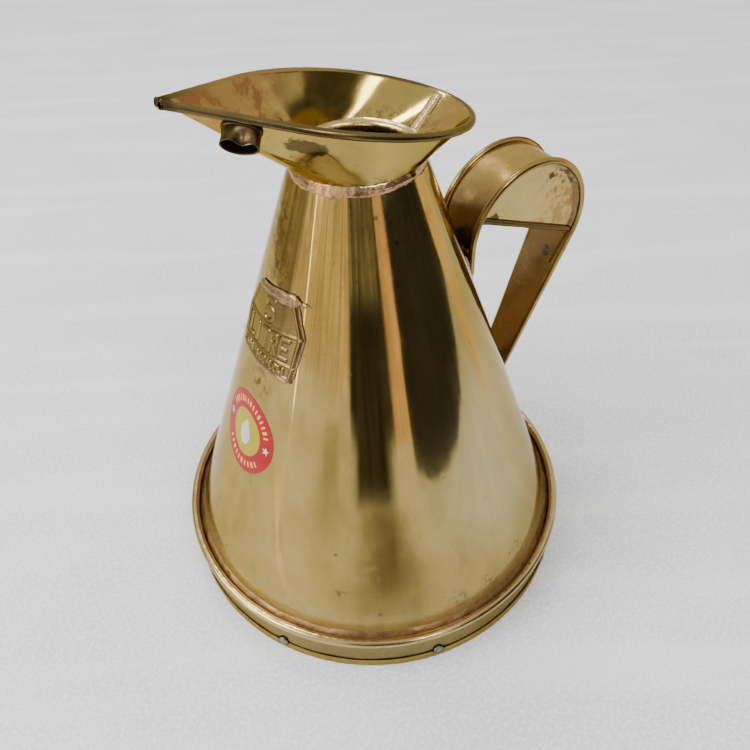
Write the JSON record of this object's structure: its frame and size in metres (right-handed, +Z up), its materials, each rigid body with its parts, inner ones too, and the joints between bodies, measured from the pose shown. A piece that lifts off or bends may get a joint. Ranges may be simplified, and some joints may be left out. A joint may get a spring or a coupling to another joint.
{
  "type": "conical liquid measure",
  "caption": "Conical liquid measure in sheet brass, with a base ring, a tilted teardrop pouring mouth, an overflow tube, a capacity plate and a strap handle with a boxed grip.",
  "frame": {"origin": "Centre of the base, on the surface the measure stands on.", "axes": "+Z up the cone's axis, -X towards the pouring lip, +X towards the handle."},
  "size_m": [0.2753, 0.254, 0.3273],
  "materials": {
    "brass_body": "polished sheet brass, lightly tarnished",
    "brass_dull": "dull sheet brass",
    "brass_band": "greenish tarnished sheet brass",
    "brass_bright": "bright worn brass bead",
    "brass_hem": "yellow tarnished brass hem",
    "brass_wire": "brass rolled over wire, worn",
    "brass_plate": "pressed brass plate, tarnished in the hollows",
    "brass_strap": "heat-stained sheet brass",
    "brass_grip": "pale brushed sheet brass",
    "brass_dark": "blackened brass",
    "tin_solder": "lumpy tin solder stained pink by copper",
    "copper_solder": "reddish brown stained solder",
    "steel_rivet": "dull grey rivet heads",
    "dark_rivet": "dark oxidised rivet",
    "label_paper": "printed gloss paper label"
  },
  "bodies": {
    "root": {"cone_body": "brass_body", "cone_seam": "tin_solder", "bottom_disc": "brass_dull", "base_band": "brass_band", "base_bead": "brass_bright", "base_hem": "brass_hem", "foot_solder": "copper_solder", "base_rivets": "steel_rivet", "funnel": "brass_body", "rim_wire": "brass_wire", "funnel_seam": "tin_solder", "neck_solder": "tin_solder", "neck_inner_solder": "tin_solder", "overflow_tube": "brass_dark", "overflow_solder": "brass_dark", "capacity_plate": "brass_plate", "plate_solder": "tin_solder", "round_label": "label_paper", "handle_strap": "brass_strap", "handle_edge_near": "brass_wire", "handle_edge_far": "brass_wire", "grip_side_near": "brass_grip", "grip_side_far": "brass_grip", "grip_floor": "brass_dark", "grip_rivet": "dark_rivet", "grip_solder": "tin_solder", "handle_top_solder": "copper_solder", "handle_bottom_solder": "copper_solder"}
  },
  "joints": []
}
